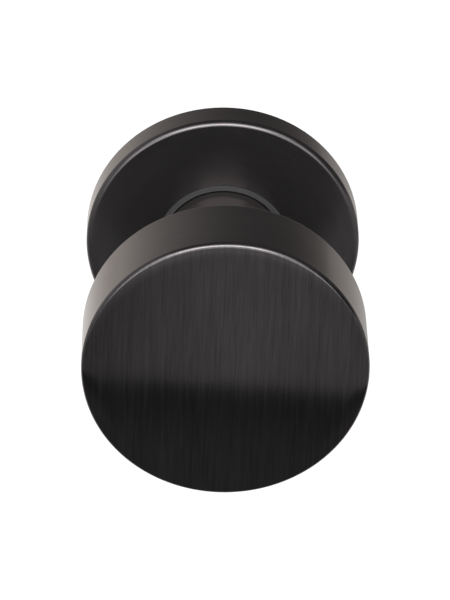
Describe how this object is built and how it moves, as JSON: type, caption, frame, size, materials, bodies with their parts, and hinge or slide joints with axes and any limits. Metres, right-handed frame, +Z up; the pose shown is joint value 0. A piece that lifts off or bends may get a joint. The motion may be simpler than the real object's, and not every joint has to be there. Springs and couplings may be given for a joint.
{
  "type": "fixed door knob",
  "caption": "Fixed door knob: a thick round disc of dark brushed metal on a short neck, standing on a round rose that is screwed to the door.",
  "frame": {"origin": "middle of the rose's back, where the knob's axis meets the face of the door", "axes": "-Y points out of the door along the knob's axis, +Z is up, +X is to the right of someone facing the door"},
  "size_m": [0.05, 0.053, 0.05],
  "materials": {
    "gunmetal_head": "dark gunmetal coating over fine brushing in one direction",
    "gunmetal_neck": "dark gunmetal coating over fine turned brushing",
    "gunmetal_rose": "dark gunmetal coating over fine turned brushing",
    "black_oxide_steel": "black oxide, lightly oiled",
    "spring_steel": "drawn spring wire",
    "ground_steel": "ground",
    "zinc_plated_steel": "bright zinc plating",
    "black_nylon": "moulded, satin"
  },
  "bodies": {
    "root": {"knob_head": "gunmetal_head", "knob_neck": "gunmetal_neck", "rose_cover": "gunmetal_rose", "head_bolt": "black_oxide_steel", "grub_screw": "black_oxide_steel", "lock_washer": "spring_steel", "snap_ring": "spring_steel", "head_pin": "ground_steel", "base_plate": "zinc_plated_steel", "base_spigot": "zinc_plated_steel", "guide_ring": "black_nylon"}
  },
  "joints": []
}
